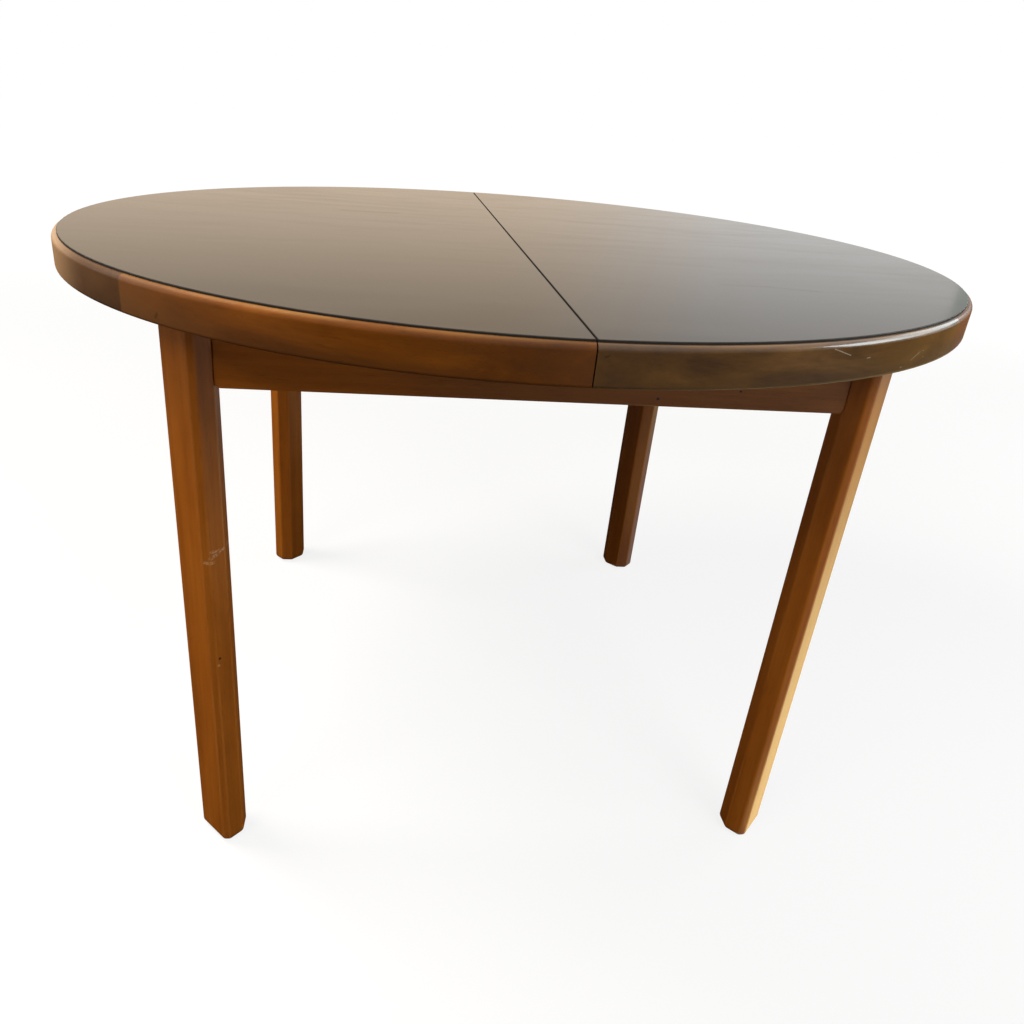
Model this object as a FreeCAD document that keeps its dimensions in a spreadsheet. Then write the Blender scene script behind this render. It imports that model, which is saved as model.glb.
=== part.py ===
import FreeCAD, Part
import Sketcher
import math
import os
import re

# Round extending dining table, closed, with a folded butterfly leaf stored under its two top halves.
# Millimetres, +Z up, origin on the floor under the middle of the top. The halves part along X.

doc = FreeCAD.newDocument("ButterflyLeafTable")
sheet = doc.addObject("Spreadsheet::Sheet", "Sizes")

SIZES = {
    # Top: two half discs, each a core with a surface sheet on it and an edge band round it
    "overall_height": 740,
    "top_radius": 573.4,
    "surface_thickness": 2.2,
    "surface_inset": 6,
    "surface_ease": 0.6,
    "core_thickness": 22,
    "band_width": 22,
    "band_drop": 13.6,
    "band_top_round": 6,
    "band_bottom_round": 3,
    "band_end_angle": 91.5,
    "seam_gap": 1.2,
    "seam_dowel_radius": 5,
    "seam_dowel_reach": 12,
    "seam_dowel_seat": 25,
    "seam_dowel_clearance": 0.3,
    "seam_dowel_inner_place": 160,
    "seam_dowel_rim_distance": 73,
    # Legs: flattened octagons, wide faces outward, with deep inner chamfers that take the aprons' ends
    "leg_inset": 50.65,
    "leg_width": 58.5,
    "leg_depth": 41.5,
    "leg_outer_chamfer": 6.2,
    "leg_inner_chamfer": 15,
    "leg_arris_round": 6,
    "foot_round": 8.5,
    "glide_radius": 12,
    "glide_thickness": 2,
    "glide_stem_radius": 3,
    "glide_stem_length": 18,
    # Aprons between the legs
    "apron_setout": 18,
    "apron_thickness": 22,
    "apron_cover": 8.5,
    "apron_corner_round": 6,
    "apron_edge_round": 1.2,
    "top_clearance": 1,
    "pad_thickness": 0.7,
    "pad_length": 40,
    "pad_width": 14,
    "pad_inset": 126.7,
    # Corner blocks and what holds the legs to them
    "block_arm": 60,
    "block_lift": 5,
    "block_top_clearance": 2,
    "bolt_radius": 4,
    "bolt_into_leg": 26,
    "bolt_tail": 14,
    "bolt_edge_distance": 12,
    "washer_radius": 10,
    "washer_thickness": 2,
    "nut_corner_radius": 7.5,
    "nut_thickness": 6.5,
    "block_screw_place": 40,
    "block_screw_length": 38,
    # Guides, runners and stops that carry the halves
    "guide_outer_thickness": 36,
    "guide_inner_thickness": 26,
    "guide_end_gap": 26.7,
    "runner_width": 27,
    "runner_height": 35,
    "runner_side_clearance": 0.5,
    "runner_gap": 1,
    "runner_relief": 0.6,
    "runner_end_margin": 25,
    "runner_tail_margin": 20,
    "runner_notch_clearance": 1,
    "tongue_height": 8,
    "tongue_depth": 7,
    "tongue_clearance": 0.3,
    "peg_radius": 5,
    "peg_drop": 16,
    "peg_seat": 20,
    "stop_clearance": 0.5,
    "cleat_length": 14,
    "cleat_height": 17,
    "cleat_clearance": 2,
    # Wood screws, all of one kind
    "screw_radius": 2.5,
    "screw_length": 48,
    "screw_head_radius": 5,
    "screw_head_height": 3,
    "runner_screw_first": 45,
    "guide_screw_inset": 60,
    "guide_screw_drop": 6,
    # Stored leaf, folded once, and the rests that it lies on
    "leaf_side_clearance": 8,
    "leaf_head_clearance": 5.2,
    "leaf_play": 10,
    "leaf_fold_gap": 0.8,
    "leaf_rest_width": 45,
    "leaf_rest_thickness": 18,
    "leaf_rest_inset": 117,
    "hinge_inset": 95,
    "hinge_length": 60,
    "hinge_plate_height": 17,
    "hinge_plate_thickness": 2,
    "hinge_knuckle_radius": 4,
    "hinge_knuckle_gap": 0.4,
    "hinge_pin_radius": 2,
    "hinge_pin_clearance": 0.05,
    # Hook catches under the seam
    "catch_rim_distance": 96.4,
    "catch_pivot_place": 40,
    "catch_stud_place": 25,
    "catch_plate_length": 44,
    "catch_plate_width": 28,
    "catch_plate_thickness": 2,
    "catch_arm_width": 16,
    "catch_arm_thickness": 3,
    "catch_arm_tip": 9,
    "catch_float": 0.4,
    "catch_pin_radius": 3,
    "catch_pin_clearance": 0.05,
    "catch_head_radius": 6,
    "catch_head_thickness": 1.5,
    "catch_stud_radius": 3.5,
    "catch_notch_clearance": 1.1,
}

for row, (alias, number) in enumerate(SIZES.items(), start=1):
    sheet.set(f"A{row}", alias)
    sheet.set(f"B{row}", str(number))
    sheet.setAlias(f"B{row}", alias)
doc.recompute()

# Places worked out from the sizes, as expressions of the sheet's names
SURFACE_RADIUS = "(top_radius - surface_inset)"
CORE_RADIUS = "(top_radius - band_width)"
CORE_TOP = "(overall_height - surface_thickness)"
CORE_BOTTOM = f"({CORE_TOP} - core_thickness)"
BAND_BOTTOM = f"({CORE_BOTTOM} - band_drop)"
FRAME_TOP = f"({CORE_BOTTOM} - top_clearance)"
LEG_FACET = "((leg_width / 2 + leg_depth / 2 - leg_inner_chamfer) / sqrt(2))"
LEG_PLACE = "((top_radius - leg_inset - leg_depth / 2) / sqrt(2))"
LEG_INNER = "(top_radius - leg_inset - leg_depth)"
APRON_END = f"({LEG_PLACE} - {LEG_FACET})"
APRON_FACE = f"({LEG_PLACE} + apron_setout)"
APRON_INNER = f"({APRON_FACE} - apron_thickness)"
GUIDE_END = f"({APRON_END} - guide_end_gap)"
PAD_PLACE = f"({APRON_END} - pad_inset)"
GUIDE_OUTER = f"({APRON_INNER} - guide_outer_thickness)"
LEFT_RUNNER_OUTER = f"({GUIDE_OUTER} - runner_side_clearance)"
LEFT_RUNNER_INNER = f"({LEFT_RUNNER_OUTER} - runner_width)"
RIGHT_RUNNER_OUTER = f"({LEFT_RUNNER_INNER} - runner_gap)"
RIGHT_RUNNER_INNER = f"({RIGHT_RUNNER_OUTER} - runner_width)"
GUIDE_INNER = f"({RIGHT_RUNNER_INNER} - runner_side_clearance)"
GUIDE_INNER_BACK = f"({GUIDE_INNER} - guide_inner_thickness)"
RUNNER_BOTTOM = f"({CORE_BOTTOM} - runner_height)"
TONGUE_MIDDLE = f"({CORE_BOTTOM} - runner_height / 2)"
LEAF_HALF_WIDTH = f"({GUIDE_INNER_BACK} - leaf_side_clearance)"
HINGE_PLACE = f"({LEAF_HALF_WIDTH} - hinge_inset)"
SLIDE_TRAVEL = f"({LEAF_HALF_WIDTH} + leaf_play)"
PEG_PLACE = f"(peg_radius + {SLIDE_TRAVEL} + stop_clearance)"
RUNNER_TAIL = f"({PEG_PLACE} + peg_radius + runner_tail_margin)"
RUNNER_END = f"(sqrt({CORE_RADIUS} ^ 2 - {LEFT_RUNNER_OUTER} ^ 2) - runner_end_margin)"
CLEAT_TOP = f"({RUNNER_BOTTOM} - cleat_clearance)"
LEAF_LENGTH = "(top_radius - leaf_fold_gap / 2)"
LEAF_REST_PLACE = f"({LEAF_LENGTH} / 2 - leaf_rest_inset)"
LEAF_HEIGHT = "(2 * (core_thickness + surface_thickness) + leaf_fold_gap + band_drop)"
LEAF_REST_TOP = f"({CORE_BOTTOM} - leaf_head_clearance - {LEAF_HEIGHT})"
LEAF_REST_BOTTOM = f"({LEAF_REST_TOP} - leaf_rest_thickness)"
APRON_BOTTOM = f"({LEAF_REST_BOTTOM} - apron_cover)"
BLOCK_BOTTOM = f"({APRON_BOTTOM} + block_lift)"
BLOCK_TOP = f"({CLEAT_TOP} - block_top_clearance)"
FOLD_PLANE = f"({LEAF_REST_TOP} + core_thickness + surface_thickness + leaf_fold_gap / 2)"
CATCH_PLATE_BOTTOM = f"({CORE_BOTTOM} - catch_plate_thickness)"
CATCH_ARM_BOTTOM = f"({CATCH_PLATE_BOTTOM} - catch_float - catch_arm_thickness)"
CATCH_HEAD_BOTTOM = f"({CATCH_ARM_BOTTOM} - catch_float - catch_head_thickness)"
CATCH_REACH = "(catch_pivot_place + catch_stud_place)"
CATCH_PLACE = f"({CORE_RADIUS} - catch_rim_distance)"

FRONT_BACK = {"front": -1, "back": 1}
LEFT_RIGHT = {"left": -1, "right": 1}
UP = FreeCAD.Vector(0, 0, 1)

parts = []


def qualified(expression):
    """The expression with each of the sheet's names written as the document knows it."""
    return re.sub(r"[a-z_]+", lambda word: f"Sizes.{word[0]}" if word[0] in SIZES else word[0], expression)


def bind(thing, **expressions):
    """Tie a feature's properties to expressions of the sheet's names."""
    for name, expression in expressions.items():
        thing.setExpression(name, qualified(expression))
    return thing


def place(thing, x, y, z, rotation=FreeCAD.Rotation()):
    """Turn a feature and tie its place to three expressions."""
    thing.Placement = FreeCAD.Placement(FreeCAD.Vector(), rotation)
    for axis, expression in zip("xyz", (x, y, z)):
        thing.setExpression(f"Placement.Base.{axis}", qualified(expression))
    return thing


def keep(thing, name):
    """Name a finished piece, which goes to a file of that name."""
    thing.Label = name
    parts.append(thing)
    return thing


def span(sign, near, far):
    """Low and high ends of a stretch that runs outward from near to far on one side of the middle."""
    if sign > 0:
        return near, far
    return f"-({far})", f"-({near})"


def box(name, x, y, z):
    """A block between a low and a high end on each axis."""
    block = doc.addObject("Part::Box", name)
    bind(block, Length=f"{x[1]} - ({x[0]})", Width=f"{y[1]} - ({y[0]})", Height=f"{z[1]} - ({z[0]})")
    return place(block, x[0], y[0], z[0])


def rod(name, radius, length, x, y, z, direction=UP):
    """A cylinder that starts at a point and runs along a direction."""
    cylinder = doc.addObject("Part::Cylinder", name)
    bind(cylinder, Radius=radius, Height=length)
    return place(cylinder, x, y, z, FreeCAD.Rotation(UP, direction))


def upright(name, radius, x, y, z):
    """A vertical cylinder between a low and a high end."""
    return rod(name, radius, f"{z[1]} - ({z[0]})", x, y, z[0])


def group(name, pieces):
    """Several pieces that stay separate solids."""
    compound = doc.addObject("Part::Compound", name)
    compound.Links = pieces
    return compound


def fuse(name, pieces):
    """Several shapes joined into one solid."""
    joined = doc.addObject("Part::MultiFuse", name)
    joined.Shapes = pieces
    joined.Refine = True
    return joined


def cut(name, base, tools):
    """A shape with others taken out of it."""
    result = doc.addObject("Part::Cut", name)
    result.Base = base
    result.Tool = tools[0] if len(tools) == 1 else group(f"{name}_tools", tools)
    return result


def common(name, base, tool):
    """What two shapes share."""
    result = doc.addObject("Part::Common", name)
    result.Base = base
    result.Tool = tool
    return result


def flat_sketch(body, role, name):
    """A sketch on one of a body's own planes."""
    sketch = body.newObject("Sketcher::SketchObject", name)
    plane = next(feature for feature in body.Origin.OriginFeatures if feature.Role == role)
    sketch.AttachmentSupport = (plane, [""])
    sketch.MapMode = "FlatFace"
    return sketch


def outline(sketch, corners):
    """A closed outline of straight lines, each corner tied to its own pair of expressions."""
    guesses = [FreeCAD.Vector(index + 1, (index * index) % 7 + 1, 0) for index in range(len(corners))]
    for index, start in enumerate(guesses):
        sketch.addGeometry(Part.LineSegment(start, guesses[(index + 1) % len(corners)]), False)
    for index in range(len(corners)):
        after = (index + 1) % len(corners)
        sketch.addConstraint(Sketcher.Constraint("Coincident", index, 2, after, 1))
    for index, corner in enumerate(corners):
        for kind, expression in zip(("DistanceX", "DistanceY"), corner):
            number = sketch.addConstraint(Sketcher.Constraint(kind, -1, 1, index, 1, 1.0))
            sketch.setExpression(f"Constraints[{number}]", qualified(expression))


def pad(name, corners, height):
    """A body padded upward from an outline on its ground plane."""
    body = doc.addObject("PartDesign::Body", name)
    sketch = flat_sketch(body, "XY_Plane", f"{name}_plan")
    outline(sketch, corners)
    feature = body.newObject("PartDesign::Pad", f"{name}_pad")
    feature.Profile = sketch
    bind(feature, Length=height)
    return body


def rectangle(length, width):
    """Corners of a rectangle about the origin."""
    signs = ((-1, -1), (1, -1), (1, 1), (-1, 1))
    return [(f"{a} * ({length}) / 2", f"{b} * ({width}) / 2") for a, b in signs]


def ease(body, kind, size, wanted):
    """Round or chamfer the edges of a body that a test picks out."""
    doc.recompute()
    base = body.Tip
    bounds = base.Shape.BoundBox
    numbered = enumerate(base.Shape.Edges, start=1)
    edges = [f"Edge{number}" for number, edge in numbered if wanted(edge, bounds)]
    feature = body.newObject(f"PartDesign::{kind}", f"{body.Name}_{kind}")
    feature.Base = (base, edges)
    bind(feature, **{"Size" if kind == "Chamfer" else "Radius": size})
    return feature


def level(edge, height):
    """Whether an edge lies wholly at a height."""
    return abs(edge.BoundBox.ZMin - height) < 1e-4 and abs(edge.BoundBox.ZMax - height) < 1e-4


def vertical(edge, bounds):
    """Whether an edge runs the whole height of its body."""
    tall = abs(edge.BoundBox.ZLength - bounds.ZLength) < 1e-4
    return tall and edge.BoundBox.DiagonalLength < bounds.ZLength + 1e-4


def at_side(edge, bounds):
    """Whether an edge lies wholly on one of the two ends of its body's length."""
    low = edge.BoundBox.XMax - bounds.XMin
    high = bounds.XMax - edge.BoundBox.XMin
    return min(low, high) < 1e-4


def wood_screw(name, x, y, z, direction, length="screw_length"):
    """A countersunk screw, its head flush at a point, driven along a direction."""
    head = doc.addObject("Part::Cone", f"{name}_head")
    bind(head, Radius1="screw_head_radius", Radius2="screw_radius", Height="screw_head_height")
    place(head, x, y, z, FreeCAD.Rotation(UP, direction))
    return fuse(name, [head, rod(f"{name}_shank", "screw_radius", length, x, y, z, direction)])


# Base frame: legs, aprons and corner blocks


def leg_corner(sx, sy, radial):
    """X and Y of a point on a leg's diagonal, so far from the middle of the table."""
    return f"{sx} * ({radial}) / sqrt(2)", f"{sy} * ({radial}) / sqrt(2)"


def diagonal_rod(name, radius, length, start, height, sx, sy):
    """A cylinder along a leg's diagonal, outward from a distance from the middle."""
    x, y = leg_corner(sx, sy, start)
    return rod(name, radius, length, x, y, height, FreeCAD.Vector(sx, sy, 0))


def leg_blank(name, sx, sy):
    """One leg: a planed bar with chamfered and eased edges and a rounded foot."""
    body = pad(f"{name}_blank", rectangle("leg_width", "leg_depth"), f"{FRAME_TOP} - glide_thickness")
    ease(body, "Chamfer", "leg_outer_chamfer",
         lambda edge, bounds: vertical(edge, bounds) and edge.CenterOfMass.y > 0)
    ease(body, "Chamfer", "leg_inner_chamfer",
         lambda edge, bounds: vertical(edge, bounds) and edge.CenterOfMass.y < 0)
    ease(body, "Fillet", "leg_arris_round", vertical)
    ease(body, "Fillet", "foot_round", lambda edge, bounds: level(edge, bounds.ZMin))
    turn = math.degrees(math.atan2(sy, sx)) - 90
    return place(body, f"{sx} * {LEG_PLACE}", f"{sy} * {LEG_PLACE}", "glide_thickness",
                 FreeCAD.Rotation(UP, turn))


def corner_block_blank(name, sx, sy):
    """A block across the corner, between the inner faces of two aprons and behind the leg."""
    near = f"({LEG_INNER} * sqrt(2) - {APRON_INNER})"
    corners = [
        (APRON_INNER, near),
        (near, APRON_INNER),
        (f"{near} - block_arm", APRON_INNER),
        (APRON_INNER, f"{near} - block_arm"),
    ]
    plan = [(f"{sx} * ({x})", f"{sy} * ({y})") for x, y in corners]
    body = pad(f"{name}_blank", plan, f"{BLOCK_TOP} - {BLOCK_BOTTOM}")
    return place(body, "0", "0", BLOCK_BOTTOM)


BLOCK_INNER = f"(({LEG_INNER} * sqrt(2) - block_arm) / sqrt(2))"
BLOCK_SCREW_HEIGHT = f"(({BLOCK_BOTTOM} + {BLOCK_TOP}) / 2)"
bolts, washers, nuts, glides, block_screws = [], [], [], [], []
block_screws_by_apron = {"front": [], "back": [], "left": [], "right": []}

for depth, sy in FRONT_BACK.items():
    for side, sx in LEFT_RIGHT.items():
        corner = f"{depth}_{side}"
        leg_bolts = []
        for end, edge in (("low", f"{BLOCK_BOTTOM} + bolt_edge_distance"),
                          ("high", f"{BLOCK_TOP} - bolt_edge_distance")):
            start = f"({BLOCK_INNER} - bolt_tail)"
            length = f"{LEG_INNER} + bolt_into_leg - {start}"
            label = f"{corner}_{end}"
            bolt = diagonal_rod(f"{label}_bolt", "bolt_radius", length, start, edge, sx, sy)
            disc = diagonal_rod(f"{label}_disc", "washer_radius", "washer_thickness",
                                f"{BLOCK_INNER} - washer_thickness", edge, sx, sy)
            hexagon = doc.addObject("Part::Prism", f"{label}_hexagon")
            hexagon.Polygon = 6
            bind(hexagon, Circumradius="nut_corner_radius", Height="nut_thickness")
            x, y = leg_corner(sx, sy, f"{BLOCK_INNER} - washer_thickness - nut_thickness")
            place(hexagon, x, y, edge, FreeCAD.Rotation(UP, FreeCAD.Vector(sx, sy, 0)))
            leg_bolts.append(bolt)
            washers.append(cut(f"{label}_washer", disc, [bolt]))
            nuts.append(cut(f"{label}_nut", hexagon, [bolt]))
        bolts += leg_bolts

        leg_x = f"{sx} * {LEG_PLACE}"
        leg_y = f"{sy} * {LEG_PLACE}"
        disc = upright(f"{corner}_glide_disc", "glide_radius", leg_x, leg_y, ("0", "glide_thickness"))
        stem = upright(f"{corner}_glide_stem", "glide_stem_radius", leg_x, leg_y,
                       ("0", "glide_thickness + glide_stem_length"))
        glides.append(fuse(f"{corner}_glide", [disc, stem]))
        blank = leg_blank(f"{corner}_leg", sx, sy)
        keep(cut(f"{corner}_leg_bored", blank, leg_bolts + [stem]), f"{corner}_leg")

        # Two screws from each block's inner face: one into the front or back apron, one into the side apron
        arm = f"({LEG_INNER} * sqrt(2) - {APRON_INNER} - block_screw_place)"
        seat = f"({LEG_INNER} * sqrt(2) - block_arm - {arm})"
        along_y = wood_screw(f"{corner}_screw_y", f"{sx} * {arm}", f"{sy} * {seat}", BLOCK_SCREW_HEIGHT,
                             FreeCAD.Vector(0, sy, 0), "block_screw_length")
        along_x = wood_screw(f"{corner}_screw_x", f"{sx} * {seat}", f"{sy} * {arm}", BLOCK_SCREW_HEIGHT,
                             FreeCAD.Vector(sx, 0, 0), "block_screw_length")
        block_screws += [along_y, along_x]
        block_screws_by_apron[depth].append(along_y)
        block_screws_by_apron[side].append(along_x)
        block = corner_block_blank(f"{corner}_corner_block", sx, sy)
        keep(cut(f"{corner}_block_bored", block, leg_bolts + [along_y, along_x]), f"{corner}_corner_block")

keep(group("leg_bolt_group", bolts), "leg_bolts")
keep(group("leg_washer_group", washers), "leg_washers")
keep(group("leg_nut_group", nuts), "leg_nuts")
keep(group("glide_group", glides), "foot_glides")
keep(group("block_screw_group", block_screws), "corner_block_screws")


def apron_blank(name, turn, x, y):
    """One apron board with eased edges and rounded lower end corners."""
    plan = rectangle(f"2 * {APRON_END}", "apron_thickness")
    body = pad(f"{name}_blank", plan, f"{FRAME_TOP} - {APRON_BOTTOM}")
    ease(body, "Fillet", "apron_corner_round",
         lambda edge, bounds: level(edge, bounds.ZMin) and at_side(edge, bounds))
    ease(body, "Fillet", "apron_edge_round",
         lambda edge, bounds: level(edge, bounds.ZMin) and edge.BoundBox.YLength < 1e-4)
    return place(body, x, y, APRON_BOTTOM, FreeCAD.Rotation(UP, turn))


# Guides that the runners slide along, and the stop cleats on them


def guide(name, sign, near, far, x, z, tongue):
    """A straight rail with a tongue along its running face."""
    rail = box(f"{name}_rail", x, span(sign, near, far), z)
    height = (f"{TONGUE_MIDDLE} - tongue_height / 2", f"{TONGUE_MIDDLE} + tongue_height / 2")
    return fuse(f"{name}_milled", [rail, box(f"{name}_tongue", x, span(sign, *tongue), height)])


guide_screws, cleats = [], []
apron_screws = {"front": [], "back": []}
rest_screws = {"left": [], "right": []}
REST_SCREW_HEIGHT = f"({LEAF_REST_BOTTOM} + leaf_rest_thickness / 2)"

for depth, sy in FRONT_BACK.items():
    outer = guide(f"{depth}_outer_guide", sy, GUIDE_OUTER, APRON_INNER, (f"-{GUIDE_END}", GUIDE_END),
                  (CLEAT_TOP, FRAME_TOP), (f"{GUIDE_OUTER} - tongue_depth", GUIDE_OUTER))
    screws = []
    for side, sx in LEFT_RIGHT.items():
        screws.append(wood_screw(f"{depth}_{side}_guide_screw", f"{sx} * ({GUIDE_END} - guide_screw_inset)",
                                 f"{sy} * {GUIDE_OUTER}", f"{FRAME_TOP} - guide_screw_drop",
                                 FreeCAD.Vector(0, sy, 0)))
    apron_screws[depth] = screws
    keep(cut(f"{depth}_outer_guide_bored", outer, screws), f"{depth}_outer_guide")

    inner = guide(f"{depth}_inner_guide", sy, GUIDE_INNER_BACK, GUIDE_INNER,
                  (f"-{APRON_INNER}", APRON_INNER), (LEAF_REST_BOTTOM, FRAME_TOP),
                  (GUIDE_INNER, f"{GUIDE_INNER} + tongue_depth"))
    through = []
    for side, sx in LEFT_RIGHT.items():
        screw = wood_screw(f"{depth}_{side}_rest_screw", f"{sx} * {LEAF_REST_PLACE}",
                           f"{sy} * {GUIDE_INNER}", REST_SCREW_HEIGHT, FreeCAD.Vector(0, -sy, 0))
        through.append(screw)
        rest_screws[side].append(screw)
    guide_screws += screws + through
    keep(cut(f"{depth}_inner_guide_bored", inner, through), f"{depth}_inner_guide")

    # A cleat for the left half's peg hangs under the outer guide, and one for the right half's on the inner
    cleat_height = (f"{CLEAT_TOP} - cleat_height", CLEAT_TOP)
    cleats.append(box(f"{depth}_left_cleat", ("-cleat_length", "0"),
                      span(sy, LEFT_RUNNER_INNER, APRON_INNER), cleat_height))
    cleats.append(box(f"{depth}_right_cleat", ("0", "cleat_length"),
                      span(sy, GUIDE_INNER, RIGHT_RUNNER_OUTER), cleat_height))

keep(group("guide_screw_group", guide_screws), "guide_screws")
keep(group("cleat_group", cleats), "stop_cleats")

for depth, sy in FRONT_BACK.items():
    blank = apron_blank(f"{depth}_apron", 0, "0", f"{sy} * ({APRON_FACE} - apron_thickness / 2)")
    holes = apron_screws[depth] + block_screws_by_apron[depth]
    keep(cut(f"{depth}_apron_bored", blank, holes), f"{depth}_apron")

# The side aprons are notched from the top where the runners of their own half pass over them
RUNNER_FACES = {
    "left": (LEFT_RUNNER_INNER, LEFT_RUNNER_OUTER),
    "right": (RIGHT_RUNNER_INNER, RIGHT_RUNNER_OUTER),
}
for side, sx in LEFT_RIGHT.items():
    inner_face, outer_face = RUNNER_FACES[side]
    notches = []
    for depth, sy in FRONT_BACK.items():
        y = span(sy, f"{inner_face} - runner_notch_clearance", f"{outer_face} + runner_notch_clearance")
        x = span(sx, f"{APRON_INNER} - apron_thickness", f"{APRON_FACE} + apron_thickness")
        z = (f"{RUNNER_BOTTOM} - runner_notch_clearance", CORE_BOTTOM)
        notches.append(box(f"{side}_{depth}_notch", x, y, z))
    blank = apron_blank(f"{side}_apron", 90, f"{sx} * ({APRON_FACE} - apron_thickness / 2)", "0")
    keep(cut(f"{side}_apron_notched", blank, notches + block_screws_by_apron[side]), f"{side}_apron")

pads = []
for depth, sy in FRONT_BACK.items():
    for side, sx in LEFT_RIGHT.items():
        x = (f"{sx} * {PAD_PLACE} - pad_length / 2", f"{sx} * {PAD_PLACE} + pad_length / 2")
        middle = f"{sy} * ({APRON_FACE} - apron_thickness / 2)"
        y = (f"{middle} - pad_width / 2", f"{middle} + pad_width / 2")
        pads.append(box(f"{depth}_{side}_pad", x, y, (FRAME_TOP, f"{FRAME_TOP} + pad_thickness")))
keep(group("pad_group", pads), "glide_pads")

# Leaf rests across the inner guides, and the leaf folded on them

for side, sx in LEFT_RIGHT.items():
    middle = f"{sx} * {LEAF_REST_PLACE}"
    x = (f"{middle} - leaf_rest_width / 2", f"{middle} + leaf_rest_width / 2")
    batten = box(f"{side}_rest_batten", x, (f"-{GUIDE_INNER_BACK}", GUIDE_INNER_BACK),
                 (LEAF_REST_BOTTOM, LEAF_REST_TOP))
    keep(cut(f"{side}_rest_bored", batten, rest_screws[side]), f"{side}_leaf_rest")

LEAF_HALVES = {"lower": -1, "upper": 1}
LEAF_FOLD_END = f"(-{LEAF_LENGTH} / 2)"
LEAF_OUTER_END = f"({LEAF_LENGTH} / 2)"
LEAF_SIDES = (f"-{LEAF_HALF_WIDTH}", LEAF_HALF_WIDTH)
SHEET_FACE = "(leaf_fold_gap / 2)"
SHEET_BACK = f"({SHEET_FACE} + surface_thickness)"
CORE_BACK = f"({SHEET_BACK} + core_thickness)"
HINGE_AXIS = f"({LEAF_FOLD_END} - hinge_knuckle_radius)"


def folded(sign, near, far):
    """Heights of a layer of the folded leaf, measured away from the fold plane."""
    low, high = span(sign, near, far)
    return f"{FOLD_PLANE} + ({low})", f"{FOLD_PLANE} + ({high})"


def at_outer_end(edge, bounds):
    """Whether an edge lies wholly on the far end of its body along X."""
    return abs(edge.BoundBox.XMin - bounds.XMax) < 1e-4


def hinge_plate(name, sign, y, knuckles):
    """A hinge plate on the fold edge, with its own knuckles of the interleaved barrel."""
    clear = "(hinge_knuckle_radius + hinge_knuckle_gap)"
    x = (f"{LEAF_FOLD_END} - hinge_plate_thickness", LEAF_FOLD_END)
    length = (f"{y} - hinge_length / 2", f"{y} + hinge_length / 2")
    pieces = [box(f"{name}_plate", x, length, folded(sign, clear, f"{clear} + hinge_plate_height"))]
    for number, (start, end) in enumerate(knuckles):
        low = f"{y} + hinge_length * {start} + hinge_knuckle_gap / 2"
        high = f"{y} + hinge_length * {end} - hinge_knuckle_gap / 2"
        web = folded(sign, "0", f"{clear} + hinge_plate_thickness")
        pieces.append(box(f"{name}_web{number}", x, (low, high), web))
        pieces.append(rod(f"{name}_knuckle{number}", "hinge_knuckle_radius", f"{high} - ({low})",
                          HINGE_AXIS, low, FOLD_PLANE, FreeCAD.Vector(0, 1, 0)))
    hole = rod(f"{name}_hole", "hinge_pin_radius + hinge_pin_clearance", "hinge_length",
               HINGE_AXIS, length[0], FOLD_PLANE, FreeCAD.Vector(0, 1, 0))
    return cut(f"{name}_drilled", fuse(f"{name}_joined", pieces), [hole])


for half, sign in LEAF_HALVES.items():
    core = box(f"leaf_{half}_board", (LEAF_FOLD_END, f"{LEAF_OUTER_END} - band_width"), LEAF_SIDES,
               folded(sign, SHEET_BACK, CORE_BACK))
    keep(core, f"leaf_{half}_core")
    laminate = box(f"leaf_{half}_laminate", (LEAF_FOLD_END, f"{LEAF_OUTER_END} - surface_inset"),
                   LEAF_SIDES, folded(sign, SHEET_FACE, SHEET_BACK))
    keep(laminate, f"leaf_{half}_surface")
    strip = pad(f"leaf_{half}_strip", rectangle("band_width", f"2 * {LEAF_HALF_WIDTH}"),
                "core_thickness + band_drop")
    face_end = "ZMin" if sign > 0 else "ZMax"
    back_end = "ZMax" if sign > 0 else "ZMin"
    ease(strip, "Fillet", "band_top_round",
         lambda edge, bounds: at_outer_end(edge, bounds) and level(edge, getattr(bounds, face_end)))
    ease(strip, "Fillet", "band_bottom_round",
         lambda edge, bounds: at_outer_end(edge, bounds) and level(edge, getattr(bounds, back_end)))
    heights = folded(sign, SHEET_BACK, f"{CORE_BACK} + band_drop")
    place(strip, f"{LEAF_OUTER_END} - band_width / 2", "0", heights[0])
    keep(strip, f"leaf_{half}_band")

plates = {"lower": [], "upper": []}
pins = []
THIRDS = {"lower": [("(-1 / 2)", "(-1 / 6)"), ("1 / 6", "1 / 2")], "upper": [("(-1 / 6)", "1 / 6")]}
for depth, sy in FRONT_BACK.items():
    middle = f"{sy} * {HINGE_PLACE}"
    pins.append(rod(f"{depth}_hinge_pin", "hinge_pin_radius", "hinge_length", HINGE_AXIS,
                    f"{middle} - hinge_length / 2", FOLD_PLANE, FreeCAD.Vector(0, 1, 0)))
    for half, sign in LEAF_HALVES.items():
        plates[half].append(hinge_plate(f"{depth}_{half}_hinge", sign, middle, THIRDS[half]))
for half in LEAF_HALVES:
    keep(group(f"{half}_hinge_group", plates[half]), f"leaf_{half}_hinge_plates")
keep(group("hinge_pin_group", pins), "leaf_hinge_pins")

# Top halves


def seam_side(name, sx, radius, z):
    """A half disc on one side of the seam."""
    disc = upright(f"{name}_disc", radius, "0", "0", z)
    x = span(sx, "seam_gap / 2", f"{radius} + band_width")
    y = (f"-{radius} - band_width", f"{radius} + band_width")
    return common(f"{name}_half", disc, box(f"{name}_side", x, y, z))


def outer_arc(edge):
    """Whether an edge is an arc round the outside of the band."""
    return hasattr(edge.Curve, "Radius") and edge.Curve.Radius > sheet.top_radius - sheet.band_width / 2


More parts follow.
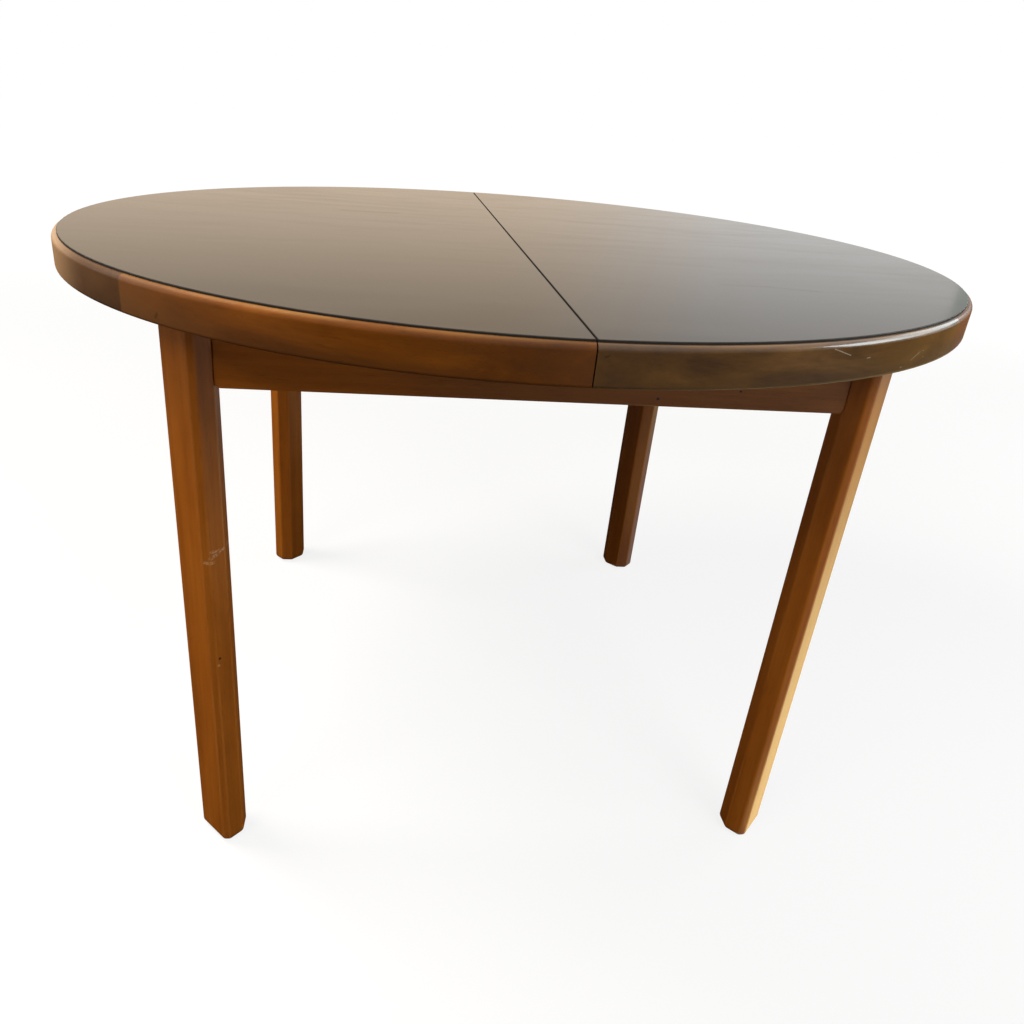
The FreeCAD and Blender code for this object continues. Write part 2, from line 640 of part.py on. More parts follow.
def band_segment(name, middle, angle):
    """One segment of the edge band, turned to its place and cut back at the seam."""
    body = doc.addObject("PartDesign::Body", f"{name}_blank")
    sketch = flat_sketch(body, "XZ_Plane", f"{name}_profile")
    outline(sketch, [(CORE_RADIUS, BAND_BOTTOM), ("top_radius", BAND_BOTTOM), ("top_radius", CORE_TOP),
                     (CORE_RADIUS, CORE_TOP)])
    turned = body.newObject("PartDesign::Revolution", f"{name}_turned")
    turned.Profile = sketch
    turned.ReferenceAxis = (sketch, ["V_Axis"])
    turned.Midplane = True
    bind(turned, Angle=angle)
    ease(body, "Fillet", "band_top_round",
         lambda edge, bounds: level(edge, bounds.ZMax) and outer_arc(edge))
    ease(body, "Fillet", "band_bottom_round",
         lambda edge, bounds: level(edge, bounds.ZMin) and outer_arc(edge))
    bind(body, **{"Placement.Rotation.Angle": middle})
    slot = box(f"{name}_seam", ("-seam_gap / 2", "seam_gap / 2"), ("-2 * top_radius", "2 * top_radius"),
               (f"{BAND_BOTTOM} - band_drop", "overall_height"))
    return cut(f"{name}_trimmed", body, [slot])


RUNNER_SCREWS = 4


def runner_screws(side, depth):
    """Screws up through a runner into the core of its half."""
    sx, sy = LEFT_RIGHT[side], FRONT_BACK[depth]
    inner_face, outer_face = RUNNER_FACES[side]
    screws = []
    pitch = f"(({RUNNER_END} - 2 * runner_screw_first) / {RUNNER_SCREWS - 1})"
    for number in range(RUNNER_SCREWS):
        x = f"{sx} * (runner_screw_first + {number} * {pitch})"
        y = f"{sy} * ({inner_face} + {outer_face}) / 2"
        screws.append(wood_screw(f"{side}_{depth}_runner_screw_{number}", x, y, RUNNER_BOTTOM, UP))
    return screws


def runner(name, side, sx, sy, screws, peg):
    """A grooved runner, fixed under its own half and running on under the other half, which it clears."""
    inner_face, outer_face = RUNNER_FACES[side]
    bar = box(f"{name}_bar", span(sx, f"-{RUNNER_TAIL}", RUNNER_END), span(sy, inner_face, outer_face),
              (RUNNER_BOTTOM, CORE_BOTTOM))
    groove_reach = "(tongue_depth + tongue_clearance)"
    if side == "left":
        groove_y = span(sy, f"{outer_face} - {groove_reach} + runner_side_clearance",
                        f"{outer_face} + runner_gap")
    else:
        groove_y = span(sy, f"{inner_face} - runner_gap",
                        f"{inner_face} + {groove_reach} - runner_side_clearance")
    half_groove = "(tongue_height / 2 + tongue_clearance)"
    groove_z = (f"{TONGUE_MIDDLE} - {half_groove}", f"{TONGUE_MIDDLE} + {half_groove}")
    groove = box(f"{name}_groove", span(sx, f"-2 * {RUNNER_TAIL}", f"2 * {RUNNER_END}"), groove_y, groove_z)
    relief = box(f"{name}_relief", span(-sx, "-seam_gap / 2", f"2 * {RUNNER_TAIL}"),
                 span(sy, f"{inner_face} - runner_gap", f"{outer_face} + runner_gap"),
                 (f"{CORE_BOTTOM} - runner_relief", f"{CORE_BOTTOM} + runner_relief"))
    return cut(f"{name}_milled", bar, [groove, relief, peg] + screws)


dowels, dowel_holes = [], []
SEAM_DOWELS = {"inner": "seam_dowel_inner_place", "outer": f"({CORE_RADIUS} - seam_dowel_rim_distance)"}
for row_name, distance in SEAM_DOWELS.items():
    for depth, sy in FRONT_BACK.items():
        y = f"{sy} * {distance}"
        height = f"{CORE_BOTTOM} + core_thickness / 2"
        label = f"{depth}_{row_name}"
        along = FreeCAD.Vector(1, 0, 0)
        length = "seam_gap + seam_dowel_reach"
        dowels.append(rod(f"{label}_dowel", "seam_dowel_radius", f"seam_dowel_seat + {length}",
                          "-seam_gap / 2 - seam_dowel_seat", y, height, along))
        dowel_holes.append(rod(f"{label}_hole", "seam_dowel_radius + seam_dowel_clearance",
                               f"{length} + seam_dowel_radius", "-seam_gap / 2", y, height, along))

# The end segment of each half has a shorter segment on either side of it, up to the seam
SIDE_ANGLE = "((180 - band_end_angle) / 2)"
SEGMENT_ANGLES = {"front": SIDE_ANGLE, "end": "band_end_angle", "back": SIDE_ANGLE}
SEGMENT_MIDDLES = {
    "left": {"front": f"270 - {SIDE_ANGLE} / 2", "end": "180", "back": f"90 + {SIDE_ANGLE} / 2"},
    "right": {"front": f"270 + {SIDE_ANGLE} / 2", "end": "0", "back": f"90 - {SIDE_ANGLE} / 2"},
}
for side, sx in LEFT_RIGHT.items():
    inner_face, outer_face = RUNNER_FACES[side]
    screws, pegs = [], []
    for depth, sy in FRONT_BACK.items():
        runner_holes = runner_screws(side, depth)
        peg = upright(f"{side}_{depth}_peg", "peg_radius", f"{-sx} * {PEG_PLACE}",
                      f"{sy} * ({inner_face} + {outer_face}) / 2",
                      (f"{RUNNER_BOTTOM} - peg_drop", f"{RUNNER_BOTTOM} + peg_seat"))
        name = f"{side}_{depth}_runner"
        keep(runner(name, side, sx, sy, runner_holes, peg), name)
        screws += runner_holes
        pegs.append(peg)
    keep(group(f"{side}_runner_screw_group", screws), f"{side}_runner_screws")
    keep(group(f"{side}_peg_group", pegs), f"{side}_stop_pegs")

    core = seam_side(f"{side}_core", sx, CORE_RADIUS, (CORE_BOTTOM, CORE_TOP))
    dowel_bores = dowels if side == "left" else dowel_holes
    keep(cut(f"{side}_core_bored", core, screws + dowel_bores), f"{side}_core")
    laminate = seam_side(f"{side}_laminate", sx, SURFACE_RADIUS, (CORE_TOP, "overall_height"))
    doc.recompute()
    top_edges = [number for number, edge in enumerate(laminate.Shape.Edges, start=1)
                 if level(edge, laminate.Shape.BoundBox.ZMax)]
    eased = doc.addObject("Part::Fillet", f"{side}_laminate_eased")
    eased.Base = laminate
    eased.Edges = [(number, sheet.surface_ease, sheet.surface_ease) for number in top_edges]
    keep(eased, f"{side}_surface")
    for segment, middle in SEGMENT_MIDDLES[side].items():
        name = f"{side}_{segment}_band"
        keep(band_segment(name, middle, SEGMENT_ANGLES[segment]), name)
keep(group("seam_dowel_group", dowels), "seam_dowels")

# Hook catches: a pivot under the left half, a hook on it and a headed stud under the right half


def headed_post(name, radius, x, y, top):
    """A post that hangs down and ends in a wider head."""
    post = upright(f"{name}_post", radius, x, y, (CATCH_HEAD_BOTTOM, top))
    head = upright(f"{name}_head", "catch_head_radius", x, y,
                   (CATCH_HEAD_BOTTOM, f"{CATCH_HEAD_BOTTOM} + catch_head_thickness"))
    return fuse(name, [post, head])


def hook(name, sy):
    """A flat hook drawn along +X from its pivot, with a notch on the side that meets the stud first."""
    thickness = ("0", "catch_arm_thickness")
    tip = f"{CATCH_REACH} + catch_arm_tip"
    arm = box(f"{name}_arm", ("0", tip), ("-catch_arm_width / 2", "catch_arm_width / 2"), thickness)
    eye = upright(f"{name}_eye", "catch_arm_width / 2", "0", "0", thickness)
    bore = upright(f"{name}_bore", "catch_pin_radius + catch_pin_clearance", "0", "0", thickness)
    notch_radius = "(catch_stud_radius + catch_notch_clearance)"
    seat = upright(f"{name}_seat", notch_radius, CATCH_REACH, "0", thickness)
    mouth = box(f"{name}_mouth", (f"{CATCH_REACH} - {notch_radius}", f"{CATCH_REACH} + {notch_radius}"),
                span(-sy, "0", "catch_arm_width"), thickness)
    shaped = cut(f"{name}_shaped", fuse(f"{name}_bar", [arm, eye]), [bore, seat, mouth])
    return place(shaped, "-catch_pivot_place", f"{sy} * {CATCH_PLACE}", CATCH_ARM_BOTTOM,
                 FreeCAD.Rotation(UP, sy * 90))


catch_plates, catch_studs = [], []
for depth, sy in FRONT_BACK.items():
    y = f"{sy} * {CATCH_PLACE}"
    sides = (f"{y} - catch_plate_width / 2", f"{y} + catch_plate_width / 2")
    plate_height = (CATCH_PLATE_BOTTOM, CORE_BOTTOM)
    along_x = ("-catch_pivot_place - catch_plate_length / 2",
               "-catch_pivot_place + catch_plate_length / 2 - seam_gap")
    plate = box(f"{depth}_catch_base", along_x, sides, plate_height)
    pivot = headed_post(f"{depth}_catch_pivot", "catch_pin_radius", "-catch_pivot_place", y,
                        CATCH_PLATE_BOTTOM)
    catch_plates.append(fuse(f"{depth}_catch_plate", [plate, pivot]))
    base = box(f"{depth}_stud_base", ("catch_stud_place - catch_plate_width / 2",
                                      "catch_stud_place + catch_plate_width / 2"), sides, plate_height)
    stud = headed_post(f"{depth}_stud", "catch_stud_radius", "catch_stud_place", y, CATCH_PLATE_BOTTOM)
    catch_studs.append(fuse(f"{depth}_catch_stud", [base, stud]))
    keep(hook(f"{depth}_hook", sy), f"{depth}_catch_hook")
keep(group("catch_plate_group", catch_plates), "catch_plates")
keep(group("catch_stud_group", catch_studs), "catch_studs")

# Check the document, then write each piece to its own file

doc.recompute()
faults = [thing.Label for thing in doc.Objects if {"Invalid", "Error"} & set(thing.State)]
faults += [thing.Label for thing in parts if thing.Shape.isNull() or not thing.Shape.isValid()]
if faults:
    raise RuntimeError(f"these objects failed: {faults}")

os.makedirs("parts", exist_ok=True)
for thing in parts:
    thing.Shape.exportStep(f"parts/{thing.Label}.step")
print(len(parts), "pieces,", sum(len(thing.Shape.Solids) for thing in parts), "solids")
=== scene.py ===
# Round extending table, closed, on four faceted legs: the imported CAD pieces, dressed for a studio
# picture that is taken from where the photograph was.
import math

import bpy
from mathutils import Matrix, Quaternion, Vector

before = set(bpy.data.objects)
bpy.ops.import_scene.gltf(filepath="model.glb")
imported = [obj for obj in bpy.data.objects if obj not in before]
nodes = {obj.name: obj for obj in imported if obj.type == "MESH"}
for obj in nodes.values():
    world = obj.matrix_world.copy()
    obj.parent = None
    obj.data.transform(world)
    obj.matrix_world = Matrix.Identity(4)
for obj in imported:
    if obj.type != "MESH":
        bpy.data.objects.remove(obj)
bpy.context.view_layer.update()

# Legs: four straight bars of stained hardwood, planed to a flattened octagon and bolted to the corner
# blocks with their wide faces outward. Grain runs up the leg under a thin satin varnish, the arrises are
# rubbed paler, and the front left leg has a chair's scuff at half height.


class Net:
    """A node tree with short calls for adding and joining nodes."""

    def __init__(self, tree):
        self.tree = tree

    def add(self, kind, settings=None, **inputs):
        node = self.tree.nodes.new(kind)
        for name, value in (settings or {}).items():
            setattr(node, name, value)
        for name, value in inputs.items():
            self.feed(node, name.replace("_", " "), value)
        return node

    def feed(self, node, name, value):
        socket = node.inputs[int(name)] if name.isdigit() else node.inputs[name]
        if isinstance(value, bpy.types.NodeSocket):
            self.tree.links.new(value, socket)
        else:
            socket.default_value = value

    def math(self, operation, a, b=0.0, c=0.0, clamp=False):
        node = self.add("ShaderNodeMath", {"operation": operation, "use_clamp": clamp})
        for number, value in enumerate((a, b, c)):
            self.feed(node, str(number), value)
        return node.outputs[0]

    def vector(self, operation, a, b=(0.0, 0.0, 0.0), result="Vector"):
        node = self.add("ShaderNodeVectorMath", {"operation": operation})
        self.feed(node, "0", a)
        self.feed(node, "1", b)
        return node.outputs[result]

    def noise(self, place, scale, detail=3.0, roughness=0.55, distortion=0.0):
        node = self.add("ShaderNodeTexNoise", Vector=place, Scale=scale, Detail=detail,
                        Roughness=roughness, Distortion=distortion)
        return node.outputs["Fac"]

    def ramp(self, value, low, high, start=0.0, end=1.0):
        node = self.add("ShaderNodeMapRange", {"interpolation_type": "SMOOTHSTEP"}, Value=value)
        for name, number in (("From Min", low), ("From Max", high), ("To Min", start), ("To Max", end)):
            self.feed(node, name, number)
        return node.outputs["Result"]

    def mix(self, share, a, b):
        node = self.add("ShaderNodeMix", {"data_type": "RGBA"})
        self.feed(node, "0", share)
        self.feed(node, "6", a)
        self.feed(node, "7", b)
        return node.outputs[2]

    def split(self, vector):
        return self.add("ShaderNodeSeparateXYZ", Vector=vector).outputs

    def join(self, x=0.0, y=0.0, z=0.0):
        return self.add("ShaderNodeCombineXYZ", X=x, Y=y, Z=z).outputs[0]


def new_group(name, inputs, outputs):
    """An empty shader node group with named sockets, and its own input and output nodes."""
    tree = bpy.data.node_groups.new(name, "ShaderNodeTree")
    for title, kind, value in inputs:
        socket = tree.interface.new_socket(title, in_out="INPUT", socket_type=kind)
        if value is not None:
            socket.default_value = value
    for title, kind in outputs:
        tree.interface.new_socket(title, in_out="OUTPUT", socket_type=kind)
    net = Net(tree)
    return net, net.add("NodeGroupInput").outputs, net.add("NodeGroupOutput")


# How often the figure repeats in a metre, along the fibres and twice across them
GRAIN_WAVE = (1.5, 9.0, 9.0)
GRAIN_BANDS = (2.2, 75.0, 75.0)
GRAIN_FIBRES = (14.0, 620.0, 620.0)
GRAIN_PORES = (55.0, 1500.0, 1500.0)
GRAIN_CLOUDS = (9.0, 26.0, 26.0)
GRAIN_SWAY = 0.02
NOISE_MIDDLE = 0.5
STREAK_GAIN = 2.4
BLOTCH_GAIN = 2.2
PORE_DARKNESS = 0.65


def wood_grain():
    """Figure of sawn wood in metres, with its fibres along the X of the place that is fed in."""
    net, given, out = new_group(
        "Wood grain",
        [("Place", "NodeSocketVector", None), ("Dark", "NodeSocketColor", (0.1, 0.03, 0.01, 1)),
         ("Light", "NodeSocketColor", (0.3, 0.1, 0.02, 1)), ("Streak", "NodeSocketFloat", 0.5),
         ("Blotch", "NodeSocketFloat", 0.4), ("Pores", "NodeSocketFloat", 0.4)],
        [("Colour", "NodeSocketColor"), ("Fibre", "NodeSocketFloat"), ("Height", "NodeSocketFloat")])
    place = given["Place"]
    wave = net.noise(net.vector("MULTIPLY", place, GRAIN_WAVE), 1.0, 2.0)
    sway = net.join(0.0, net.math("MULTIPLY", wave, GRAIN_SWAY), net.math("MULTIPLY", wave, -GRAIN_SWAY))
    bent = net.vector("ADD", place, sway)
    bands = net.noise(net.vector("MULTIPLY", bent, GRAIN_BANDS), 1.0, 3.0, 0.6)
    fibres = net.noise(net.vector("MULTIPLY", bent, GRAIN_FIBRES), 1.0, 3.0, 0.65)
    pores = net.noise(net.vector("MULTIPLY", bent, GRAIN_PORES), 1.0, 1.0)
    clouds = net.noise(net.vector("MULTIPLY", place, GRAIN_CLOUDS), 1.0, 4.0, 0.6, 0.6)
    streak = net.math("MULTIPLY", net.math("SUBTRACT", bands, NOISE_MIDDLE),
                      net.math("MULTIPLY", given["Streak"], STREAK_GAIN))
    fine = net.math("MULTIPLY", net.math("SUBTRACT", fibres, NOISE_MIDDLE), given["Streak"])
    blotch = net.math("MULTIPLY", net.math("SUBTRACT", clouds, NOISE_MIDDLE),
                      net.math("MULTIPLY", given["Blotch"], BLOTCH_GAIN))
    lines = net.math("ADD", net.math("ADD", streak, NOISE_MIDDLE), fine)
    tone = net.math("ADD", lines, blotch, clamp=True)
    colour = net.mix(tone, given["Dark"], given["Light"])
    pore = net.math("MULTIPLY", net.ramp(pores, 0.62, 0.72), given["Pores"])
    filled = net.mix(PORE_DARKNESS, colour, (0.0, 0.0, 0.0, 1))
    net.feed(out, "Colour", net.mix(pore, colour, filled))
    net.feed(out, "Fibre", fibres)
    net.feed(out, "Height", net.math("SUBTRACT", net.math("MULTIPLY", fibres, 0.35), pore))
    return net.tree


def hand_wear():
    """Patchy rubbing: a soft mask that breaks up along whatever edge mask is fed in."""
    net, given, out = new_group(
        "Hand wear",
        [("Place", "NodeSocketVector", None), ("Edge", "NodeSocketFloat", 0.0),
         ("Amount", "NodeSocketFloat", 0.5)],
        [("Worn", "NodeSocketFloat"), ("Scuff", "NodeSocketFloat")])
    patch = net.noise(given["Place"], 9.0, 3.0, 0.5)
    grit = net.noise(given["Place"], 130.0, 3.0, 0.7)
    broken = net.ramp(net.math("MULTIPLY_ADD", grit, 0.2, patch), 0.3, 0.85)
    worn = net.math("MULTIPLY", net.math("MULTIPLY", given["Edge"], broken), given["Amount"], clamp=True)
    net.feed(out, "Worn", worn)
    net.feed(out, "Scuff", net.ramp(net.noise(given["Place"], 38.0, 5.0, 0.75, 1.2), 0.6, 0.75))
    return net.tree


def scratch_mark():
    """A ragged stroke of a given half width from one place to another, as a mask."""
    net, given, out = new_group(
        "Scratch mark",
        [("Place", "NodeSocketVector", None), ("Start", "NodeSocketVector", None),
         ("End", "NodeSocketVector", None), ("Width", "NodeSocketFloat", 0.001)],
        [("Mark", "NodeSocketFloat")])
    run = net.vector("SUBTRACT", given["End"], given["Start"])
    away = net.vector("SUBTRACT", given["Place"], given["Start"])
    share = net.math("DIVIDE", net.vector("DOT_PRODUCT", away, run, "Value"),
                     net.vector("DOT_PRODUCT", run, run, "Value"), clamp=True)
    foot = net.vector("MULTIPLY", run, net.join(share, share, share))
    gap = net.vector("DISTANCE", away, foot, "Value")
    ragged = net.math("MULTIPLY_ADD", net.noise(given["Place"], 700.0, 2.0), 1.6, 0.2)
    widths = net.math("DIVIDE", gap, net.math("MULTIPLY", given["Width"], ragged))
    net.feed(out, "Mark", net.ramp(widths, 1.2, 0.5))
    return net.tree


WOOD_GRAIN = wood_grain()
HAND_WEAR = hand_wear()
SCRATCH_MARK = scratch_mark()


def start_material(name):
    """A material with its net, its Principled shader and the object's own coordinates."""
    material = bpy.data.materials.new(name)
    material.use_nodes = True
    net = Net(material.node_tree)
    shader = material.node_tree.nodes["Principled BSDF"]
    place = net.add("ShaderNodeTexCoord").outputs["Object"]
    return material, net, shader, place


def facing(net):
    """The way that the surface faces, as X, Y and Z."""
    return net.split(net.add("ShaderNodeNewGeometry").outputs["Normal"])


def along(net, place, axis):
    """The place with the axis that the grain follows turned to X."""
    parts = net.split(place)
    order = {"X": "XYZ", "Y": "YXZ", "Z": "ZXY"}[axis]
    return net.join(*[parts[letter] for letter in order])


def use(net, tree, **inputs):
    """Place a node group and feed its inputs."""
    node = net.add("ShaderNodeGroup", {"node_tree": tree})
    for name, value in inputs.items():
        net.feed(node, name, value)
    return node.outputs


def strokes(net, flat, marks):
    """One mask for several scratches, each given as start, end and half width on a flattened place."""
    total = 0.0
    for start, end, width in marks:
        mark = use(net, SCRATCH_MARK, Place=flat, Start=start, End=end, Width=width)["Mark"]
        total = net.math("MAXIMUM", total, mark)
    return total


def bump(net, shader, height, distance, strength=1.0):
    """Give a shader a bumped normal."""
    node = net.add("ShaderNodeBump", Height=height, Distance=distance, Strength=strength)
    net.feed(shader, "Normal", node.outputs["Normal"])


def dress(material, *names):
    """Put one material on CAD nodes."""
    for name in names:
        mesh = nodes[name].data
        mesh.materials.clear()
        mesh.materials.append(material)


LEG_DARK = (0.165, 0.043, 0.0030, 1)
LEG_LIGHT = (0.285, 0.085, 0.0080, 1)
LEG_RUBBED = (0.36, 0.125, 0.022, 1)
SCUFF_PALE = (0.62, 0.46, 0.29, 1)
STAIN_BLACK = (0.012, 0.006, 0.004, 1)
# A darker copy of the leg colours: painted shade, for the leg that stands under the top
LEG_PAINTED_SHADE_DARK = (0.085, 0.021, 0.0014, 1)
LEG_PAINTED_SHADE_LIGHT = (0.150, 0.042, 0.0038, 1)
LEG_GLOSS = 0.18
LEG_ROUGH = 0.30
LEG_ROUGH_SPAN = 0.16
RUB_SHARE = 0.55
SCUFF_SHARE = 0.34
SCUFF_GRIT = 480.0
ARRIS_TURNS = 4.0
GRAIN_DEPTH = 0.0004


def leg_wood(name, axis, dark=LEG_DARK, light=LEG_LIGHT, pale_marks=(), dark_marks=(), painted_light=None):
    """Stained wood with its grain along an axis, marks given by X and Z, and colours that shift along X to
    paint light and sheen.
    """
    material, net, shader, place = start_material(name)
    if painted_light:
        share = net.ramp(net.split(place)["X"], *painted_light["between"])
        dark = net.mix(share, dark, painted_light["dark"])
        light = net.mix(share, light, painted_light["light"])
    grain = use(net, WOOD_GRAIN, Place=along(net, place, axis), Dark=dark, Light=light,
                Streak=0.55, Blotch=0.36, Pores=0.40)
    face = facing(net)
    heading = net.math("ARCTAN2", face["Y"], face["X"])
    arris = net.math("ABSOLUTE", net.math("SINE", net.math("MULTIPLY", heading, ARRIS_TURNS)))
    wear = use(net, HAND_WEAR, Place=place, Edge=net.ramp(arris, 0.25, 0.9), Amount=0.55)
    colour = net.mix(wear["Worn"], grain["Colour"], net.mix(RUB_SHARE, light, LEG_RUBBED))
    spot = net.split(place)
    flat = net.join(spot["X"], 0.0, spot["Z"])
    if pale_marks:
        patchy = net.ramp(net.noise(place, SCUFF_GRIT, 3.0, 0.6), 0.40, 0.66, 0.0, SCUFF_SHARE)
        scuffed = net.math("MULTIPLY", strokes(net, flat, pale_marks), patchy)
        colour = net.mix(scuffed, colour, SCUFF_PALE)
    if dark_marks:
        colour = net.mix(strokes(net, flat, dark_marks), colour, STAIN_BLACK)
    net.feed(shader, "Base Color", colour)
    net.feed(shader, "Roughness", net.math("MULTIPLY_ADD", grain["Fibre"], LEG_ROUGH_SPAN, LEG_ROUGH))
    shader.inputs["Specular IOR Level"].default_value = LEG_GLOSS
    bump(net, shader, grain["Height"], GRAIN_DEPTH, 0.35)
    return material


dress(leg_wood("leg wood", "Z"), "front_right_leg", "back_left_leg")
# The back right leg wears the darker copy of the leg colours: painted shade.
dress(leg_wood("leg wood with painted shade", "Z", LEG_PAINTED_SHADE_DARK, LEG_PAINTED_SHADE_LIGHT), "back_right_leg")
CHAIR_SCUFF = [
    ((-0.3497, 0, 0.4252), (-0.3420, 0, 0.4240), 0.0022),
    ((-0.3437, 0, 0.4300), (-0.3370, 0, 0.4330), 0.0024),
    ((-0.3425, 0, 0.4375), (-0.3290, 0, 0.4360), 0.0020),
    ((-0.3380, 0, 0.4330), (-0.3300, 0, 0.4385), 0.0014),
    ((-0.3434, 0, 0.2870), (-0.3431, 0, 0.2862), 0.0016),
]
LEG_STAINS = [((-0.3420, 0, 0.2960), (-0.3418, 0, 0.2950), 0.0013)]
dress(leg_wood("scuffed leg wood", "Z", pale_marks=CHAIR_SCUFF, dark_marks=LEG_STAINS),
      "front_left_leg")

# Foot glides: moulded studs of brown plastic, each a flat disc on a stem that is driven into a leg's
# end. They keep the end grain off the floor and let the table be pushed.

GLIDE_DARK = (0.045, 0.030, 0.020, 1)
GLIDE_LIGHT = (0.09, 0.06, 0.042, 1)
material, net, shader, place = start_material("glide plastic")
grit = net.noise(place, 300.0, 3.0, 0.6)
net.feed(shader, "Base Color", net.mix(grit, GLIDE_DARK, GLIDE_LIGHT))
net.feed(shader, "Roughness", net.math("MULTIPLY_ADD", grit, 0.2, 0.45))
bump(net, shader, grit, 0.0003, 0.3)
dress(material, "foot_glides")

# Aprons: four boards of the legs' wood in a greyer stain, butted between the legs and screwed to corner
# blocks behind. Their grain runs along each board. The front one has two filled nail holes, and its colour
# is painted brighter and more orange at the left end and greyer from the middle rightwards: painted light
# and a painted sheen.

APRON_DARK = (0.130, 0.042, 0.0080, 1)
APRON_LIGHT = (0.225, 0.083, 0.0200, 1)
# Brighter, more orange copies for the front apron's left end: painted light. From these the front apron
# shifts to the greyer apron colours, a painted sheen towards the right.
FRONT_APRON_LIT_DARK = (0.198, 0.052, 0.0036, 1)
FRONT_APRON_LIT_LIGHT = (0.342, 0.102, 0.0096, 1)
FRONT_APRON_PAINTED_LIGHT = {"between": (-0.26, -0.02), "dark": APRON_DARK, "light": APRON_LIGHT}
NAIL_HOLES = [
    ((0.1245, 0, 0.6297), (0.1249, 0, 0.6297), 0.0016),
    ((0.2120, 0, 0.6417), (0.2127, 0, 0.6417), 0.0012),
]
dress(leg_wood("front apron wood with painted light", "X", FRONT_APRON_LIT_DARK, FRONT_APRON_LIT_LIGHT, dark_marks=NAIL_HOLES, painted_light=FRONT_APRON_PAINTED_LIGHT),
      "front_apron")
dress(leg_wood("apron wood lengthwise", "X", APRON_DARK, APRON_LIGHT), "back_apron")
dress(leg_wood("apron wood crosswise", "Y", APRON_DARK, APRON_LIGHT), "left_apron", "right_apron")

# Corner blocks, guides, runners, rests, cleats, pegs and dowels: bare beech, planed and left without
# varnish, because none of it shows from outside. It is glued and screwed behind the aprons and under
# the top.

BEECH_DARK = (0.36, 0.20, 0.085, 1)
BEECH_LIGHT = (0.58, 0.37, 0.18, 1)
BARE_GLOSS = 0.25
BARE_ROUGH = 0.5
BARE_ROUGH_SPAN = 0.2


def bare_wood(name, axis):
    """Pale planed wood with short flecks."""
    material, net, shader, place = start_material(name)
    grain = use(net, WOOD_GRAIN, Place=along(net, place, axis), Dark=BEECH_DARK, Light=BEECH_LIGHT,
                Streak=0.4, Blotch=0.2, Pores=0.5)
    net.feed(shader, "Base Color", grain["Colour"])
    net.feed(shader, "Roughness", net.math("MULTIPLY_ADD", grain["Fibre"], BARE_ROUGH_SPAN, BARE_ROUGH))
    shader.inputs["Specular IOR Level"].default_value = BARE_GLOSS
    bump(net, shader, grain["Height"], GRAIN_DEPTH, 0.5)
    return material


sides = ("left", "right")
depths = ("front", "back")
dress(bare_wood("bare wood lengthwise", "X"),
      *[f"{depth}_{side}_corner_block" for depth in depths for side in sides],
      *[f"{depth}_{row}_guide" for depth in depths for row in ("outer", "inner")],
      *[f"{side}_{depth}_runner" for side in sides for depth in depths],
      "stop_cleats", "seam_dowels")
dress(bare_wood("bare wood crosswise", "Y"), "left_leaf_rest", "right_leaf_rest")
dress(bare_wood("bare wood upright", "Z"), "left_stop_pegs", "right_stop_pegs")

# Steel fittings: bolts, washers, nuts, screws, hinge pins and the hook catches. All are pressed or
# turned and zinc plated, with the fine spangle of plating that has dulled indoors.

STEEL_DULL = (0.42, 0.42, 0.41, 1)
STEEL_BRIGHT = (0.62, 0.61, 0.58, 1)
material, net, shader, place = start_material("plated steel")
spangle = net.noise(place, 220.0, 3.0, 0.6)
net.feed(shader, "Base Color", net.mix(spangle, STEEL_DULL, STEEL_BRIGHT))
net.feed(shader, "Roughness", net.math("MULTIPLY_ADD", spangle, 0.25, 0.22))
shader.inputs["Metallic"].default_value = 1.0
bump(net, shader, spangle, 0.0002, 0.2)
dress(material, "leg_bolts", "leg_washers", "leg_nuts", "corner_block_screws", "guide_screws",
      "left_runner_screws", "right_runner_screws", "leaf_hinge_pins", "catch_plates", "catch_studs",
      "front_catch_hook", "back_catch_hook")

# Glide pads: short strips of pressed green felt, cut from the sheet and glued on top of the frame, for
# the halves to slide over.

FELT_DARK = (0.035, 0.06, 0.03, 1)
FELT_LIGHT = (0.09, 0.14, 0.075, 1)
material, net, shader, place = start_material("pressed felt")
fuzz = net.noise(place, 900.0, 4.0, 0.7)
net.feed(shader, "Base Color", net.mix(fuzz, FELT_DARK, FELT_LIGHT))
net.feed(shader, "Roughness", net.math("MULTIPLY_ADD", fuzz, 0.1, 0.85))
bump(net, shader, fuzz, 0.0008, 0.6)
dress(material, "glide_pads")

# Leaf hinges: pressed brass plates with rolled knuckles on steel pins, let into the stored leaf and
# dulled by handling.

BRASS_CLEAN = (0.68, 0.47, 0.17, 1)
BRASS_DULL = (0.36, 0.23, 0.09, 1)
material, net, shader, place = start_material("dull brass")
tarnish = net.noise(place, 90.0, 4.0, 0.6)
net.feed(shader, "Base Color", net.mix(net.ramp(tarnish, 0.4, 0.7), BRASS_CLEAN, BRASS_DULL))
net.feed(shader, "Roughness", net.math("MULTIPLY_ADD", tarnish, 0.3, 0.22))
shader.inputs["Metallic"].default_value = 1.0
dress(material, "leaf_lower_hinge_plates", "leaf_upper_hinge_plates")

# Cores of the top halves and of the leaf: blockboard with a plain veneer, bare underneath. The veneer's
# grain runs across the seam.

VENEER_DARK = (0.20, 0.10, 0.042, 1)
VENEER_LIGHT = (0.36, 0.20, 0.09, 1)
material, net, shader, place = start_material("core veneer")
grain = use(net, WOOD_GRAIN, Place=place, Dark=VENEER_DARK, Light=VENEER_LIGHT,
            Streak=0.5, Blotch=0.35, Pores=0.5)
net.feed(shader, "Base Color", grain["Colour"])
net.feed(shader, "Roughness", net.math("MULTIPLY_ADD", grain["Fibre"], BARE_ROUGH_SPAN, BARE_ROUGH))
shader.inputs["Specular IOR Level"].default_value = BARE_GLOSS
bump(net, shader, grain["Height"], GRAIN_DEPTH, 0.4)
dress(material, "left_core", "right_core", "leaf_lower_core", "leaf_upper_core")
